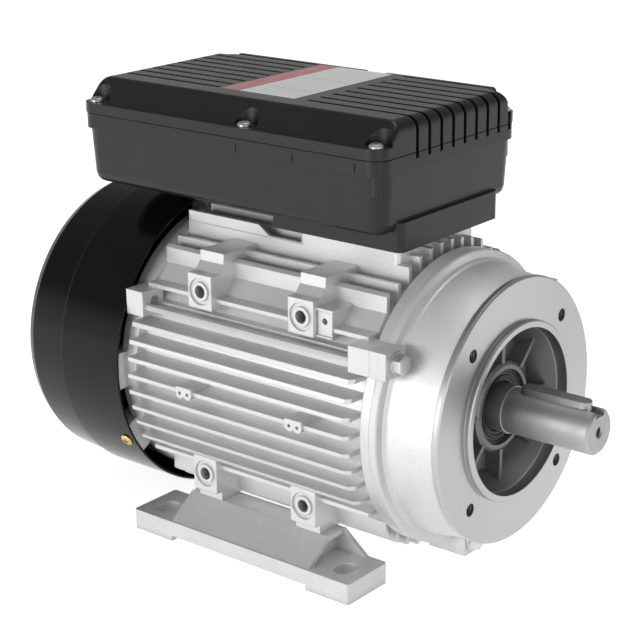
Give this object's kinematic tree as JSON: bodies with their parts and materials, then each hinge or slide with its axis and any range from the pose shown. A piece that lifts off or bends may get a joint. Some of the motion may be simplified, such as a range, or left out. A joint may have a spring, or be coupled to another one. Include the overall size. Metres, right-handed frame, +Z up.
{
  "type": "single-phase electric motor",
  "caption": "Foot-mounted induction motor with a face flange, finned aluminium frame, keyed shaft, fan cowl and a terminal box with capacitors on top.",
  "frame": {"origin": "on the shaft axis in the flange's mounting face", "axes": "+X out along the shaft, +Z up to the capacitor box, feet 90 mm below the origin"},
  "size_m": [0.326, 0.1732, 0.2413],
  "materials": {
    "cast_aluminium": "satin, die cast",
    "black_plastic": "fine texture, moulded",
    "cowl_paint": "glossy black",
    "fan_plastic": "moulded",
    "shaft_steel": "ground",
    "zinc_steel": "zinc plated",
    "core_steel": "laminated, dull",
    "bearing_steel": "polished",
    "brass": "plated brass",
    "copper_winding": "enamelled copper wire, varnished",
    "rubber": "matt",
    "wire_cover": "insulated wire",
    "label_film": "bare printed film, no lettering",
    "can_plastic": "moulded can",
    "board_laminate": "pressed laminate"
  },
  "bodies": {
    "motor_housing": {"stator_frame": "cast_aluminium", "front_end_shield": "cast_aluminium", "rear_end_shield": "cast_aluminium", "front_shield_bolts": "zinc_steel", "rear_shield_bolts": "zinc_steel", "foot_near": "cast_aluminium", "foot_far": "cast_aluminium", "foot_bolts": "zinc_steel", "fan_cowl": "cowl_paint", "cowl_screws": "brass", "stator_core": "core_steel", "main_winding": "copper_winding", "auxiliary_winding": "copper_winding", "front_bearing_outer_ring": "bearing_steel", "rear_bearing_outer_ring": "bearing_steel", "wave_washer": "bearing_steel", "shaft_seal": "rubber", "switch_plate": "board_laminate", "switch_contacts": "brass", "capacitor_box_base": "black_plastic", "box_gasket": "rubber", "box_screws": "zinc_steel", "lid_gasket": "rubber", "capacitor_box_lid": "black_plastic", "lid_screws": "zinc_steel", "rating_label": "label_film", "start_capacitor": "can_plastic", "run_capacitor": "can_plastic", "capacitor_straps": "zinc_steel", "terminal_block": "board_laminate", "terminal_studs": "brass", "terminal_nuts": "brass", "terminal_links": "brass", "lead_wires": "wire_cover", "cable_gland": "black_plastic", "gland_locknut": "black_plastic", "gland_cap": "black_plastic", "gland_plug": "rubber"},
    "rotor_shaft": {"shaft": "shaft_steel", "shaft_key": "shaft_steel", "rotor_core": "core_steel", "rotor_cage": "cast_aluminium", "front_bearing_inner_ring": "bearing_steel", "rear_bearing_inner_ring": "bearing_steel", "governor_plate": "zinc_steel", "fan": "fan_plastic", "fan_circlip": "zinc_steel"},
    "front_ball_set": {"front_bearing_balls": "bearing_steel", "front_bearing_cage": "brass"},
    "rear_ball_set": {"rear_bearing_balls": "bearing_steel", "rear_bearing_cage": "brass"},
    "governor_sleeve": {"governor_collar": "can_plastic"},
    "weight_upper": {"flyweight_upper": "zinc_steel"},
    "weight_lower": {"flyweight_lower": "zinc_steel"},
    "contact_lever": {"switch_arm": "brass"}
  },
  "joints": [
    {"name": "shaft_spin", "type": "hinge", "parent": "motor_housing", "child": "rotor_shaft", "pos_m": [0, 0, 0], "axis": [1, 0, 0], "continuous": true},
    {"name": "front_balls_spin", "type": "hinge", "parent": "motor_housing", "child": "front_ball_set", "pos_m": [-0.0315, 0, 0], "axis": [1, 0, 0], "continuous": true},
    {"name": "rear_balls_spin", "type": "hinge", "parent": "motor_housing", "child": "rear_ball_set", "pos_m": [-0.1995, 0, 0], "axis": [1, 0, 0], "continuous": true},
    {"name": "governor_slide", "type": "slide", "parent": "rotor_shaft", "child": "governor_sleeve", "axis": [1, 0, 0], "range_m": [0, 0.003], "stiffness_N_per_m": 400, "springref_m": -0.002},
    {"name": "upper_weight_pivot", "type": "hinge", "parent": "rotor_shaft", "child": "weight_upper", "pos_m": [-0.179, 0, 0.026], "axis": [0, -1, 0], "range_deg": [0, 28]},
    {"name": "lower_weight_pivot", "type": "hinge", "parent": "rotor_shaft", "child": "weight_lower", "pos_m": [-0.179, 0, -0.026], "axis": [0, 1, 0], "range_deg": [0, 28]},
    {"name": "contact_lever_pivot", "type": "hinge", "parent": "motor_housing", "child": "contact_lever", "pos_m": [-0.1879, -0.04, 0], "axis": [0, 0, -1], "range_deg": [0, 7.5]}
  ],
  "couplings": [
    {"joint": "front_balls_spin", "follows": "shaft_spin", "ratio": 0.397},
    {"joint": "rear_balls_spin", "follows": "shaft_spin", "ratio": 0.397},
    {"joint": "upper_weight_pivot", "follows": "governor_slide", "rad_per_m": 162.5},
    {"joint": "lower_weight_pivot", "follows": "governor_slide", "rad_per_m": 162.5},
    {"joint": "contact_lever_pivot", "follows": "governor_slide", "rad_per_m": 43}
  ]
}
